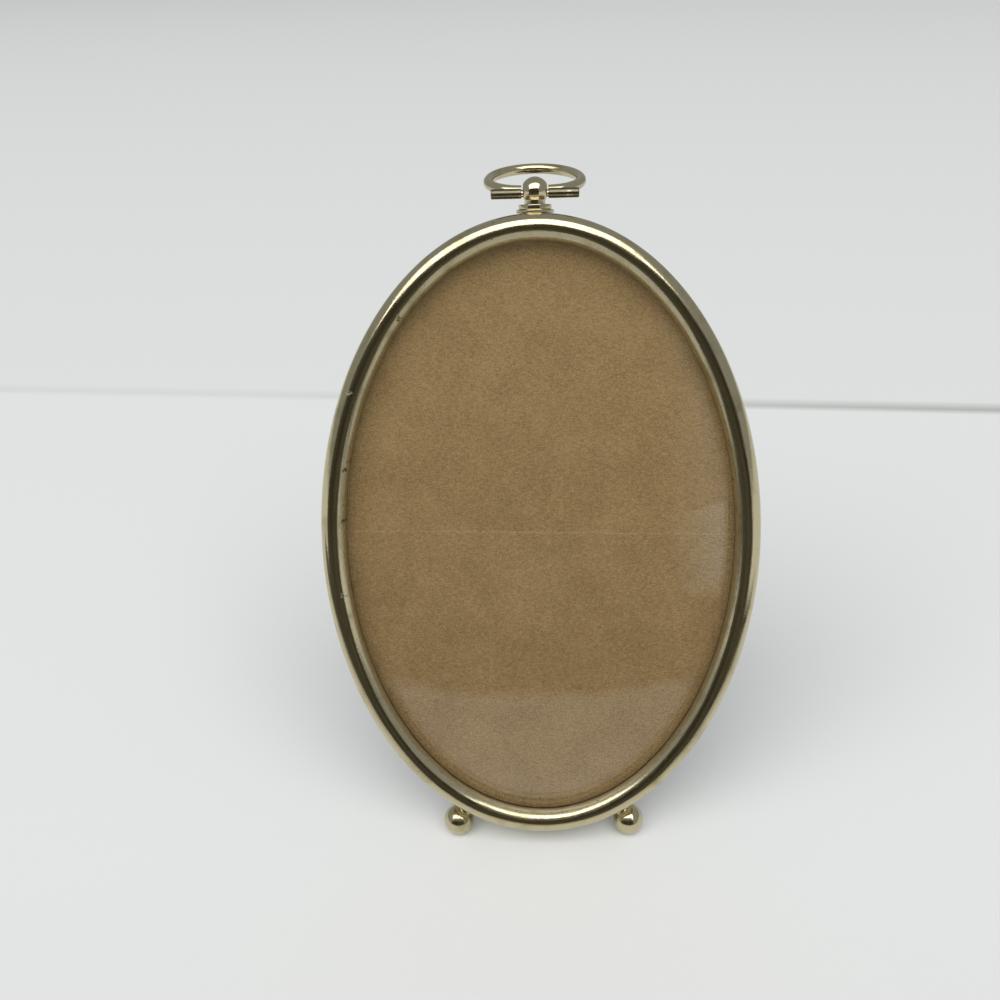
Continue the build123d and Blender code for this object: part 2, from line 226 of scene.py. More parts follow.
# Where the strip has been knocked: across and up from the oval's centre, and how wide, in mm
dings = [
    (-44.8, 39.5, 0.6),
    (-45.6, 22.5, 0.8),
    (-47.1, 20.6, 0.6),
    (-48.2, 7.7, 0.7),
    (-49.6, -11.6, 0.5),
    (-32.2, 56.9, 0.6),
    (-32.0, -52.9, 0.9),
    (46.8, 16.7, 0.4),
]


def platedBrass(name, rolled, wearAndShade=0.0):
    # Pale brass plating over roll-formed or turned brass, polished, then handled for years. To the
    # eye: sharp reflections with slightly ragged edges, duller patches, dark pits, and on the rolled
    # strip fine lines that run along it and a dull edge where it meets the glass, darkened there with
    # painted shade. At full wear the ring's sleeves are rubbed by use: duller all over, and browner and
    # darker with painted shade for the dark that they reflect.
    material, tree, shader = newMaterial(name)
    place = millimetres(tree)
    patches = addNode(tree, "ShaderNodeTexNoise", None, {
        "Vector": place, "Scale": 1 / plating["patch"],
        "Detail": 5.0, "Roughness": 0.65}).outputs["Fac"]
    grain = addNode(tree, "ShaderNodeTexNoise", None, {
        "Vector": place, "Scale": 1 / plating["grain"], "Detail": 3.0}).outputs["Fac"]
    pits = addNode(tree, "ShaderNodeTexNoise", None, {
        "Vector": place, "Scale": 1 / plating["pitSize"],
        "Detail": 2.0, "Roughness": 0.4}).outputs["Fac"]
    worn = addNode(tree, "ShaderNodeMapRange", None, {
        "Value": patches, "From Min": plating["wornFrom"][0] - wearAndShade / 4,
        "From Max": plating["wornFrom"][1] - wearAndShade / 4,
        "To Min": 0.0, "To Max": plating["wornDepth"] + wearAndShade / 4}).outputs[0]
    # worn patches; at full wear they spread and take the darker colour, which is painted shade
    aged = addNode(tree, "ShaderNodeMix", {"data_type": "RGBA"}, {
        "Factor": worn, "A": linear(plating["colour"]),
        "B": linear(plating["rubbedAndShaded" if wearAndShade else "worn"])}).outputs["Result"]
    pitted = addNode(tree, "ShaderNodeMapRange", None, {
        "Value": pits, "From Min": plating["pitFrom"][0], "From Max": plating["pitFrom"][1],
        "To Min": 0.0, "To Max": plating["pitDepth"]}).outputs[0]
    colour = addNode(tree, "ShaderNodeMix", {"data_type": "RGBA"}, {
        "Factor": pitted, "A": aged, "B": linear(plating["pit"])}).outputs["Result"]
    rough = addNode(tree, "ShaderNodeMapRange", None, {
        "Value": patches, "From Min": 0.35, "From Max": 0.70,
        "To Min": plating["roughness"] * 0.75 + wearAndShade / 20,
        "To Max": plating["roughness"] * 1.8 + wearAndShade / 5}).outputs[0]
    relief = addNode(tree, "ShaderNodeMath", {"operation": "SUBTRACT"}, {0: grain, 1: pitted}).outputs[0]
    bump = addNode(tree, "ShaderNodeBump", None, {
        "Strength": 0.5, "Distance": 0.00003, "Height": relief}).outputs[0]
    if rolled:
        # knocks: spots at their places, pulled about so that their outlines are ragged
        ragged = plating["ragged"]
        jagged = addNode(tree, "ShaderNodeTexNoise", None, {
            "Vector": place, "Scale": 1.3, "Detail": 3.0}).outputs["Color"]
        pulled = addNode(tree, "ShaderNodeVectorMath", {"operation": "MULTIPLY_ADD"}, {
            0: jagged, 1: (ragged, 0, ragged), 2: place}).outputs[0]
        flat = addNode(tree, "ShaderNodeVectorMath", {"operation": "MULTIPLY_ADD"}, {
            0: pulled, 1: (1, 0, 1), 2: (-ragged / 2, 0, -ragged / 2)}).outputs[0]
        spots = []
        for across, up, width in dings:
            away = addNode(tree, "ShaderNodeVectorMath", {"operation": "DISTANCE"}, {
                0: flat, 1: (across, 0, up)}).outputs["Value"]
            spots.append(addNode(tree, "ShaderNodeMapRange", None, {
                "Value": away, "From Min": width * 0.4, "From Max": width,
                "To Min": 1.0, "To Max": 0.0}).outputs[0])
        knocked = spots[0]
        for spot in spots[1:]:
            knocked = addNode(tree, "ShaderNodeMath", {"operation": "MAXIMUM"}, {
                0: knocked, 1: spot}).outputs[0]
        broken = addNode(tree, "ShaderNodeMapRange", None, {
            "Value": grain, "From Min": 0.3, "From Max": 0.6, "To Min": 0.3, "To Max": 1.0}).outputs[0]
        knocked = addNode(tree, "ShaderNodeMath", {"operation": "MULTIPLY"}, {
            0: knocked, 1: broken}).outputs[0]
        dented = addNode(tree, "ShaderNodeMix", {"data_type": "RGBA"}, {
            "Factor": knocked, "A": colour, "B": linear(plating["pit"])}).outputs["Result"]
        bump = addNode(tree, "ShaderNodeBump", {"invert": True}, {
            "Strength": 0.8, "Distance": 0.0001, "Height": knocked, "Normal": bump}).outputs[0]
        # painted shade at the lip where it meets the glass: by the length round the strip from its lip,
        # with an uneven end
        along = addNode(tree, "ShaderNodeUVMap", {"uv_map": "strip"}).outputs["UV"]
        reach = addNode(tree, "ShaderNodeSeparateXYZ", None, {"Vector": along}).outputs["Y"]
        uneven = addNode(tree, "ShaderNodeMath", {"operation": "MULTIPLY_ADD"}, {
            0: patches, 1: 0.0008, 2: reach}).outputs[0]
        lipShaded = addNode(tree, "ShaderNodeMapRange", None, {
            "Value": uneven, "From Min": (plating["lipShadeEnd"] - 0.3) / 1000,
            "From Max": (plating["lipShadeEnd"] + 0.5) / 1000,
            "To Min": plating["lipShadeDepth"], "To Max": 0.0}).outputs[0]
        colour = addNode(tree, "ShaderNodeMix", {"data_type": "RGBA"}, {
            "Factor": lipShaded, "A": dented, "B": linear(plating["lipShade"])}).outputs["Result"]
        duller = addNode(tree, "ShaderNodeMapRange", None, {
            "Value": reach, "From Min": plating["dullEdge"][0] / 1000,
            "From Max": plating["dullEdge"][1] / 1000,
            "To Min": plating["duller"], "To Max": 0.0}).outputs[0]
        rough = addNode(tree, "ShaderNodeMath", {"operation": "ADD"}, {0: rough, 1: duller}).outputs[0]
        # fine lines along the strip, from the rolls that bent it
        drawn = addNode(tree, "ShaderNodeMapping", None, {
            "Vector": along,
            "Scale": (1000 / plating["pull"], 1000 / plating["pullWidth"], 1)}).outputs[0]
        lines = addNode(tree, "ShaderNodeTexNoise", None, {
            "Vector": drawn, "Scale": 1.0, "Detail": 4.0}).outputs["Fac"]
        bump = addNode(tree, "ShaderNodeBump", None, {
            "Strength": 0.5, "Distance": 0.00003, "Height": lines, "Normal": bump}).outputs[0]
    shader.inputs["Metallic"].default_value = 1.0
    tree.links.new(colour, shader.inputs["Base Color"])
    tree.links.new(rough, shader.inputs["Roughness"])
    tree.links.new(bump, shader.inputs["Normal"])
    return material


def plainMetal(name, colour, shade, roughness, grain):
    # Stamped or turned metal left as the tool made it. To the eye: soft, slightly mottled shine.
    material, tree, shader = newMaterial(name)
    place = millimetres(tree)
    mottle = addNode(tree, "ShaderNodeTexNoise", None, {
        "Vector": place, "Scale": 1 / grain, "Detail": 5.0, "Roughness": 0.6}).outputs["Fac"]
    brushed = addNode(tree, "ShaderNodeTexNoise", None, {
        "Vector": millimetres(tree, (0.4, 3.0, 6.0)), "Scale": 1.0, "Detail": 4.0}).outputs["Fac"]
    tone = addNode(tree, "ShaderNodeValToRGB", {"stops": [
        (0.3, linear(shade)), (0.7, linear(colour))]}, {"Fac": mottle}).outputs[0]
    rough = addNode(tree, "ShaderNodeMapRange", None, {
        "Value": mottle, "From Min": 0.3, "From Max": 0.7,
        "To Min": roughness * 0.7, "To Max": roughness * 1.3}).outputs[0]
    bump = addNode(tree, "ShaderNodeBump", None, {
        "Strength": 0.3, "Distance": 0.00003, "Height": brushed}).outputs[0]
    shader.inputs["Metallic"].default_value = 1.0
    tree.links.new(tone, shader.inputs["Base Color"])
    tree.links.new(rough, shader.inputs["Roughness"])
    tree.links.new(bump, shader.inputs["Normal"])
    return material


def clearGlass():
    # Domed soda-lime glass, sagged in a mould. To the eye: clear, with sharp reflections that
    # wave a little.
    material, tree, shader = newMaterial("saggedSodaLimeGlass")
    place = millimetres(tree)
    wave = addNode(tree, "ShaderNodeTexNoise", None, {
        "Vector": place, "Scale": 1 / 16, "Detail": 1.0}).outputs["Fac"]
    dust = addNode(tree, "ShaderNodeTexNoise", None, {
        "Vector": place, "Scale": 1 / 5, "Detail": 6.0}).outputs["Fac"]
    film = addNode(tree, "ShaderNodeMapRange", None, {
        "Value": dust, "From Min": 0.55, "From Max": 0.8, "To Min": 0.0, "To Max": 0.02}).outputs[0]
    bump = addNode(tree, "ShaderNodeBump", None, {
        "Strength": 0.12, "Distance": 0.0004, "Height": wave}).outputs[0]
    shader.inputs["Base Color"].default_value = linear("#fbfcfa")
    shader.inputs["IOR"].default_value = 1.5
    shader.inputs["Transmission Weight"].default_value = 1.0
    tree.links.new(film, shader.inputs["Roughness"])
    tree.links.new(bump, shader.inputs["Normal"])
    return material


kraft = {
    "light": "#9e855b",
    "middle": "#886e47",
    "dark": "#6b522f",
    "pale": "#a58c64",
    "speck": "#3b2c18",
    "fibre": 0.32,         # mm across a fibre's lighter or darker spot
    "fibreLength": 1.5,
    "strands": 0.35,       # share of long fibres in the grain
    "cloud": 10.0,         # mm
    "clouds": 0.13,        # share of clouds in the tone
    "creaseHeight": 2.8,   # mm above the oval's centre
    "creaseSlope": -0.022,
    "creaseWidth": 0.35,
    # painted light: between these heights the card's tone rises toward the top, where more light falls
    "paintedLightHeights": (-35.0, 55.0),   # mm above the oval's centre, where it begins and ends to pale
    "paintedLight": (-0.016, 0.036),        # of the tone, at both heights
}


def kraftCard():
    # Unbleached kraft card, machine-made, folded once and flattened. To the eye: matt brown with a
    # fine salt-and-pepper of fibres, soft clouds, a few dark specks and one pale crease, and a little
    # paler toward the top, where painted light lifts its tone.
    material, tree, shader = newMaterial("kraftCardUncoated")
    place = millimetres(tree)
    across, _, up = addNode(tree, "ShaderNodeSeparateXYZ", None, {"Vector": place}).outputs
    fine = addNode(tree, "ShaderNodeTexNoise", None, {
        "Vector": place, "Scale": 1 / kraft["fibre"], "Detail": 3.0, "Roughness": 0.7}).outputs["Fac"]
    strands = addNode(tree, "ShaderNodeTexNoise", None, {
        "Vector": millimetres(tree, (1 / kraft["fibreLength"], 1.0, 1 / kraft["fibre"])),
        "Scale": 1.0, "Detail": 4.0, "Roughness": 0.6}).outputs["Fac"]
    clouds = addNode(tree, "ShaderNodeTexNoise", None, {
        "Vector": place, "Scale": 1 / kraft["cloud"], "Detail": 4.0, "Roughness": 0.6}).outputs["Fac"]
    fibres = addNode(tree, "ShaderNodeMix", {"data_type": "FLOAT"}, {
        "Factor": kraft["strands"], "A": fine, "B": strands}).outputs[0]
    both = addNode(tree, "ShaderNodeMix", {"data_type": "FLOAT"}, {
        "Factor": kraft["clouds"], "A": fibres, "B": clouds}).outputs[0]
    # painted light: darker toward the bottom, paler toward the top
    paintedLightShift = addNode(tree, "ShaderNodeMapRange", None, {
        "Value": up, "From Min": kraft["paintedLightHeights"][0], "From Max": kraft["paintedLightHeights"][1],
        "To Min": kraft["paintedLight"][0], "To Max": kraft["paintedLight"][1]}).outputs[0]
    paler = addNode(tree, "ShaderNodeMath", {"operation": "ADD"}, {0: both, 1: paintedLightShift}).outputs[0]
    tone = addNode(tree, "ShaderNodeValToRGB", {"stops": [
        (0.38, linear(kraft["dark"])), (0.5, linear(kraft["middle"])), (0.62, linear(kraft["light"]))]},
        {"Fac": paler}).outputs[0]
    # specks
    grit = addNode(tree, "ShaderNodeTexNoise", None, {
        "Vector": place, "Scale": 0.9, "Detail": 1.0}).outputs["Fac"]
    specks = addNode(tree, "ShaderNodeMapRange", None, {
        "Value": grit, "From Min": 0.80, "From Max": 0.82, "To Min": 0.0, "To Max": 0.7}).outputs[0]
    speckled = addNode(tree, "ShaderNodeMix", {"data_type": "RGBA"}, {
        "Factor": specks, "A": tone, "B": linear(kraft["speck"])}).outputs["Result"]
    # crease: a sloping line that drifts up and down, broken by the fibres
    height = addNode(tree, "ShaderNodeMath", {"operation": "MULTIPLY_ADD"}, {
        0: across, 1: -kraft["creaseSlope"], 2: up}).outputs[0]
    drift = addNode(tree, "ShaderNodeTexNoise", None, {
        "Vector": millimetres(tree, (1 / 9, 0.0, 0.0)), "Scale": 1.0, "Detail": 5.0}).outputs["Fac"]
    level = addNode(tree, "ShaderNodeMath", {"operation": "MULTIPLY_ADD"}, {
        0: drift, 1: 2.0, 2: kraft["creaseHeight"] - 1.0}).outputs[0]
    line = addNode(tree, "ShaderNodeMath", {"operation": "COMPARE"}, {
        0: height, 1: level, 2: kraft["creaseWidth"] / 2}).outputs[0]
    broken = addNode(tree, "ShaderNodeMapRange", None, {
        "Value": fine, "From Min": 0.4, "From Max": 0.6, "To Min": 0.1, "To Max": 0.7}).outputs[0]
    faint = addNode(tree, "ShaderNodeMath", {"operation": "MULTIPLY"}, {0: line, 1: broken}).outputs[0]
    creased = addNode(tree, "ShaderNodeMix", {"data_type": "RGBA"}, {
        "Factor": faint, "A": speckled, "B": linear(kraft["pale"])}).outputs["Result"]
    bump = addNode(tree, "ShaderNodeBump", None, {
        "Strength": 0.25, "Distance": 0.00004, "Height": fibres}).outputs[0]
    shader.inputs["Roughness"].default_value = 0.88
    shader.inputs["Specular IOR Level"].default_value = 0.3
    tree.links.new(creased, shader.inputs["Base Color"])
    tree.links.new(bump, shader.inputs["Normal"])
    return material


def coveringPaper():
    # Black bookbinder's paper, embossed like leather, glued over board. To the eye: dull, with a
    # fine pebble that catches the light and a soft cloudy tone.
    material, tree, shader = newMaterial("embossedCoveringPaper")
    place = millimetres(tree)
    pebble = addNode(tree, "ShaderNodeTexVoronoi", {"feature": "SMOOTH_F1"}, {
        "Vector": place, "Scale": 1 / 0.9, "Smoothness": 0.4}).outputs["Distance"]
    cloud = addNode(tree, "ShaderNodeTexNoise", None, {
        "Vector": place, "Scale": 1 / 12, "Detail": 6.0}).outputs["Fac"]
    tone = addNode(tree, "ShaderNodeValToRGB", {"stops": [
        (0.3, linear("#1b1917")), (0.62, linear("#2b2724")), (0.8, linear("#423c36"))]},
        {"Fac": cloud}).outputs[0]
    rough = addNode(tree, "ShaderNodeMapRange", None, {
        "Value": pebble, "From Min": 0.0, "From Max": 0.8, "To Min": 0.42, "To Max": 0.75}).outputs[0]
    bump = addNode(tree, "ShaderNodeBump", {"invert": True}, {
        "Strength": 0.6, "Distance": 0.0001, "Height": pebble}).outputs[0]
    tree.links.new(tone, shader.inputs["Base Color"])
    tree.links.new(rough, shader.inputs["Roughness"])
    tree.links.new(bump, shader.inputs["Normal"])
    return material


def pressedBoard():
    # Grey chipboard pressed from waste paper, die cut. To the eye: matt grey-brown with flecks.
    material, tree, shader = newMaterial("pressedGreyBoard")
    place = millimetres(tree)
    flecks = addNode(tree, "ShaderNodeTexNoise", None, {
        "Vector": place, "Scale": 1 / 0.8, "Detail": 6.0, "Roughness": 0.7}).outputs["Fac"]
    tone = addNode(tree, "ShaderNodeValToRGB", {"stops": [
        (0.3, linear("#5f574c")), (0.55, linear("#7d7365")), (0.75, linear("#968c7b"))]},
        {"Fac": flecks}).outputs[0]
    bump = addNode(tree, "ShaderNodeBump", None, {
        "Strength": 0.5, "Distance": 0.0001, "Height": flecks}).outputs[0]
    shader.inputs["Roughness"].default_value = 0.92
    tree.links.new(tone, shader.inputs["Base Color"])
    tree.links.new(bump, shader.inputs["Normal"])
    return material


finishes = {
    "plated_metal": platedBrass("platedTurnedBrass", False),
    "raw_brass": plainMetal("turnedBrassUnpolished", "#c9ad72", "#9a8150", 0.34, 1.4),
    "brassed_steel": plainMetal("stampedSteelBrassWash", "#bfae84", "#8f8568", 0.3, 2.2),
    "clear_glass": clearGlass(),
    "kraft_card": kraftCard(),
    "grey_board": pressedBoard(),
    "covering_paper": coveringPaper(),
}
for entry in frame["record"]["subparts"]:
    node = frame["nodes"][entry["node"]]
    node.data.materials.clear()
    node.data.materials.append(finishes[entry["material_slot"]])
print("materials made:", len(finishes))

# Moulding

moulding = {
    "halfWidth": 51.4,     # mm, of the bead's centre line
    "halfHeight": 76.8,
    "radius": 3.1,         # of the bead's half round
    "sheet": 0.7,          # thickness of the strip
    "lip": 1.1,            # from the bead's centre back to the end of the lip
    "rim": 9.0,            # from the bead's centre back to the rear edge
    "flange": 3.2,         # from the rim's outside in to the flange's edge
    "bend": 1.0,           # outer radius between rim and flange
    "waviness": 0.012,     # how far the rolls left the bead from a true round
    "steps": 720,
}


def rimFrames(turns):
    # points of the centre-line ellipse and the outward unit vectors there
    wide, high = moulding["halfWidth"], moulding["halfHeight"]
    centre = np.stack([wide * np.cos(turns), 0 * turns, high * np.sin(turns)], -1)
    outward = np.stack([high * np.cos(turns), 0 * turns, wide * np.sin(turns)], -1)
    return centre, outward / np.linalg.norm(outward, axis=-1, keepdims=True)


def evenTurns(count):
    # turns round the ellipse that are evenly spaced along it
    fine = np.linspace(0, 2 * pi, 20001)
    speed = np.hypot(moulding["halfWidth"] * np.sin(fine), moulding["halfHeight"] * np.cos(fine))
    length = np.concatenate([[0], np.cumsum((speed[1:] + speed[:-1]) / 2)])
    return np.interp(np.linspace(0, length[-1], count, endpoint=False), length, fine)


def mouldingProfile():
    # the strip's closed section: lip, half-round bead, wall, flange, and the same back inside
    radius, sheet, rim, bend = (moulding[key] for key in ("radius", "sheet", "rim", "bend"))
    half = sheet / 2
    lipEnd = moulding["lip"] - half
    tip = radius - moulding["flange"] + half
    corner = radius - bend
    parts = [
        arc(-radius + half, lipEnd, half, 0, 180, 9),
        arc(0, 0, radius, -180, 0, 57),
        np.stack([np.full(5, radius), np.linspace(0, rim - bend, 6)[1:]], -1),
        arc(corner, rim - bend, bend, 0, 90, 9)[1:],
        arc(tip, rim - half, half, 90, 270, 9),
        arc(corner, rim - bend, bend - sheet, 90, 0, 6),
        np.stack([np.full(4, radius - sheet), np.linspace(rim - bend, 0, 6)[1:-1]], -1),
        arc(0, 0, radius - sheet, 0, -180, 21),
    ]
    return np.concatenate(parts)


turns = evenTurns(moulding["steps"])
centre, outward = rimFrames(turns)
profile = mouldingProfile()
edges = np.linalg.norm(np.roll(profile, -1, 0) - profile, axis=-1)
around = np.concatenate([[0], np.cumsum(edges)]) / 1000
perimeter = np.linalg.norm(np.roll(centre, -1, 0) - centre, axis=-1).sum() / 1000
along = np.linspace(0, perimeter, moulding["steps"] + 1)
ring = np.linspace(0, 2 * pi, moulding["steps"], endpoint=False)[:, None]
lift = moulding["waviness"] * ripple(ring, profile[None, :, 0], 4, 9)
scaled = profile[None] * (1 + lift[..., None] / moulding["radius"] * (profile[None, :, 1:] < 0.01))
behind = np.array([0, 1, 0]) * scaled[..., 1:]
mouldingGrid = centre[:, None] + outward[:, None] * scaled[..., :1] + behind
surface("oval_moulding_bead", [(mouldingGrid, True)], platedBrass("platedRolledBrass", True),
        "plated_metal", "frame", "oval_moulding", strip=(along, around))

# Glass

glass = {
    "halfWidth": 50.8,     # mm, of the cut edge
    "halfHeight": 76.2,
    "domeWidth": 48.0,     # half width of the dome's foot
    "domeHeight": 73.4,
    "rise": 6.5,
    "thickness": 2.0,
    "front": 1.1,          # of the flat edge, behind the bead's centre
    "easing": 0.2,         # of the ground edge
}


def domeDepth(share):
    # how far a ball's cap stands back from its top, at a share of its half width
    ball = (glass["domeWidth"] ** 2 + glass["rise"] ** 2) / (2 * glass["rise"])
    return ball - np.sqrt(ball ** 2 - (share * glass["domeWidth"]) ** 2) - glass["rise"]


def glassGrid(columns):
    # ovals from the middle of the front out over the edge and in to the middle of the back
    shares = np.sin(np.linspace(0, pi / 2, 40))
    turn = np.linspace(0, 2 * pi, columns, endpoint=False)
    rows = [(glass["domeWidth"] * share, glass["domeHeight"] * share, glass["front"] + domeDepth(share))
            for share in shares[1:]]
    wide, high, ease = glass["halfWidth"], glass["halfHeight"], glass["easing"]
    back = glass["front"] + glass["thickness"]
    rows += [(wide - ease, high - ease, glass["front"]), (wide, high, glass["front"] + ease)]
    rows += [(wide, high, back - ease), (wide - ease, high - ease, back)]
    rows += [(wide, high, depth + glass["thickness"]) for wide, high, depth in rows[len(shares) - 2::-1]]
    wide, high, depth = (np.array(column)[:, None] for column in zip(*rows))
    return np.stack([wide * np.cos(turn), depth + 0 * turn, high * np.sin(turn)], -1)


pane = surface("domed_glass_pane", [(glassGrid(360), False)], finishes["clear_glass"],
               "clear_glass", "frame", "domed_glass")
pane.visible_shadow = False
pane.visible_diffuse = False

# Finial

finial = {
    "lowerWasher": (4.45, 0.75),   # mm, radius and height
    "upperWasher": (3.85, 1.15),
    "edge": 0.2,           # rounding of the washers' outer edges
    "hole": 1.35,
    "collar": 2.45,        # radius
    "easing": 0.12,        # of the collar's foot
    "blend": 0.5,          # radius between collar and ball
    "ball": 3.2,
    "ballHeight": 3.05,    # of the ball's centre above the washers
    "flat": 2.8,           # from the middle to each flat
    "barHeight": 2.5,      # of the cross hole above the washers
    "crossHole": 0.9,
    "stud": 1.25,
    "studEnd": -5.05,
}
washerFoot = moulding["halfHeight"] + moulding["radius"]
knobFoot = washerFoot + finial["lowerWasher"][1] + finial["upperWasher"][1]
upward = ([1, 0, 0], [0, 1, 0], [0, 0, 1])


def washerGrid(radius, height, foot):
    # a ring with eased edges, turned about its hole
    edge, hole = finial["edge"], finial["hole"]
    profile = np.concatenate([
        [[hole, 0]],
        arc(radius - edge, edge, edge, -90, 0, 5),
        arc(radius - edge, height - edge, edge, 0, 90, 5),
        [[hole, height]],
    ])
    return placed(spun(profile, 96), [0, stance["barDepth"], foot], *upward)


def ballBlend(ball, ballHeight, stem, blend):
    # where a small arc outside the stem also touches the ball: the height of the arc's centre, and
    # the angle down from the ball's middle to the touch
    height = ballHeight - sqrt((ball + blend) ** 2 - (stem + blend) ** 2)
    angle = degrees(atan2(ballHeight - height, stem + blend))
    return height, angle


surface("finial_lower_washer_turned", [(washerGrid(*finial["lowerWasher"], washerFoot), True)],
        finishes["plated_metal"], "plated_metal", "frame", "finial_lower_washer")
surface("finial_upper_washer_turned",
        [(washerGrid(*finial["upperWasher"], washerFoot + finial["lowerWasher"][1]), True)],
        finishes["plated_metal"], "plated_metal", "frame", "finial_upper_washer")


def crossDrilledBall(columns):
    # circles along the bar's direction: through the hole, out over one flat, round the ball and
    # back over the other flat
    flat, hole, ball = finial["flat"], finial["crossHole"], finial["ball"]
    drop = finial["barHeight"] - finial["ballHeight"]
    rim = sqrt(ball ** 2 - flat ** 2)
    share = np.linspace(0, 1, 7)[1:-1]
    swing = np.linspace(np.arcsin(flat / ball), -np.arcsin(flat / ball), 61)
    across = np.concatenate([np.linspace(-flat, flat, 5), np.full(5, flat), ball * np.sin(swing),
                             np.full(5, -flat)])
    radius = np.concatenate([np.full(5, hole), hole + (rim - hole) * share, ball * np.cos(swing),
                             rim + (hole - rim) * share])
    level = np.concatenate([np.full(5, drop), drop * (1 - share), np.zeros(61), drop * share])
    turn = np.linspace(0, 2 * pi, columns, endpoint=False)
    across, radius, level = across[:, None], radius[:, None], level[:, None]
    return np.stack([across + 0 * turn, radius * np.cos(turn), level + radius * np.sin(turn)], -1)


def knobStem(columns):
    # the collar under the ball, blended into it and closed inside it
    collar, ease, blend = finial["collar"], finial["easing"], finial["blend"]
    height, angle = ballBlend(finial["ball"], finial["ballHeight"], collar, blend)
    profile = np.concatenate([
        [[finial["stud"], finial["studEnd"]], [finial["stud"], 0], [collar - ease, 0], [collar, ease]],
        arc(collar + blend, height, blend, 180, 180 - angle, 8),
        [[1.0, 1.3]],   # inside the ball
    ])
    return spun(profile, columns)


knobPlace = [0, stance["barDepth"], knobFoot]
surface("finial_knob_turned", [
    (placed(crossDrilledBall(96), np.add(knobPlace, [0, 0, finial["ballHeight"]]), *upward), True),
    (placed(knobStem(96), knobPlace, *upward), False),
], finishes["plated_metal"], "plated_metal", "frame", "finial_knob")

# Ring

bow = {
    "fold": 72.0,          # degrees back from upright
    "pin": 0.85,           # mm, radius
    "pinEasing": 0.1,
    "sleeve": 1.15,
    "sleeveStart": 3.15,   # from the middle of the bar
    "barHalf": 10.25,
    "chamfer": 0.15,
    "wire": 1.25,          # radius
    "radius": 11.15,       # of the bow, to the middle of its wire
    "corner": 8.3,
    "reach": 10.62,        # from the bar to the middle of both arcs
}
fold = radians(bow["fold"])
barAxes = ([1, 0, 0], [0, cos(fold), -sin(fold)], [0, sin(fold), cos(fold)])
barPlace = [0, stance["barDepth"], stance["barHeight"]]


def bowGrid(columns):
    # a circle carried along a flat loop: tight corners by the bar, a round arc beyond
    across = bow["radius"] - bow["corner"]
    clip = degrees((bow["sleeveStart"] - across) / bow["corner"])
    path = np.concatenate([
        arc(across, bow["reach"], bow["corner"], clip - 90, 0, 40)[:-1],
        arc(0, bow["reach"], bow["radius"], 0, 180, 120),
        arc(-across, bow["reach"], bow["corner"], 180, 270 - clip, 40)[1:],
    ])
    tangent = np.gradient(path, axis=0)
    tangent /= np.linalg.norm(tangent, axis=-1, keepdims=True)
    side = np.stack([tangent[:, 1], 0 * tangent[:, 0], -tangent[:, 0]], -1)[:, None]
    turn = np.linspace(0, 2 * pi, columns, endpoint=False)[None, :, None]
    middle = np.stack([path[:, 0], 0 * path[:, 0], path[:, 1]], -1)[:, None]
    return middle + bow["wire"] * (side * np.cos(turn) + np.array([0, 1, 0]) * np.sin(turn))


def tubeGrid(side, columns):
    # a sleeve with chamfered ends, turned about the bar
    inner, outer, cut = bow["pin"], bow["sleeve"], bow["chamfer"]
    start, end = bow["sleeveStart"], bow["barHalf"]
    profile = np.array([
        [inner, start], [outer - cut, start], [outer, start + cut], [outer, (start + end) / 2],
        [outer, end - cut], [outer - cut, end], [inner, end]])
    spin = spun(profile, columns)
    return np.stack([side * spin[..., 2], spin[..., 0], spin[..., 1]], -1)


def pinGrid(columns):
    # the pin through the knob and both sleeves
    radius, end, ease = bow["pin"], bow["barHalf"], bow["pinEasing"]
    profile = np.array([
        [radius - ease, -end], [radius, ease - end], [radius, end - ease], [radius - ease, end]])
    spin = spun(profile, columns)
    return np.stack([spin[..., 2], spin[..., 0], spin[..., 1]], -1)


surface("ring_bow_wire", [(placed(bowGrid(48), barPlace, *barAxes), False)],
        finishes["plated_metal"], "plated_metal", "ring", "ring_bow")
# the sleeves: rubbed duller by use, and darker with painted shade for the dark that they reflect
sleeveMaterial = platedBrass("platedBrassRubbedShaded", False, 1.0)
surface("left_ring_sleeve_tube", [(placed(tubeGrid(-1, 64), barPlace, *barAxes), True)],
        sleeveMaterial, "plated_metal", "ring", "left_ring_sleeve")
surface("right_ring_sleeve_tube", [(placed(tubeGrid(1, 64), barPlace, *barAxes), True)],
        sleeveMaterial, "plated_metal", "ring", "right_ring_sleeve")
surface("ring_pin_rod", [(placed(pinGrid(48), barPlace, *barAxes), False)],
        finishes["plated_metal"], "plated_metal", "ring", "ring_pin")

# Feet

foot = {
    "turn": 21.1,          # degrees from the oval's lowest point
    "ball": 4.0,           # mm, radius
    "neck": 2.05,          # from the rim to the ball
    "neckRadius": 1.9,
    "blend": 0.8,          # radius between neck and ball
    "stud": 1.25,
    "studEnd": -3.15,
}


def footGrid(side, columns):
    # ball, neck and stud in one turned profile, square to the rim
    ballHeight = foot["neck"] + foot["ball"]
    height, angle = ballBlend(foot["ball"], ballHeight, foot["neckRadius"], foot["blend"])
    profile = np.concatenate([
        [[foot["stud"], foot["studEnd"]], [foot["stud"], 0], [foot["neckRadius"], 0]],
        arc(foot["neckRadius"] + foot["blend"], height, foot["blend"], 180, 180 - angle, 8),
        arc(0, ballHeight, foot["ball"], -angle, 88, 60),
    ])
    turn = radians(270 + side * foot["turn"])
    centre, out = rimFrames(np.array([turn]))
    out = out[0]
    across = np.cross([0, 1, 0], out)
    origin = centre[0] + out * moulding["radius"] + [0, stance["barDepth"], 0]
    return placed(spun(profile, columns), origin, [0, 1, 0], across, out)


surface("left_foot_turned", [(footGrid(-1, 96), False)],
        finishes["plated_metal"], "plated_metal", "frame", "left_foot")
surface("right_foot_turned", [(footGrid(1, 96), False)],
        finishes["plated_metal"], "plated_metal", "frame", "right_foot")

# Floor and light

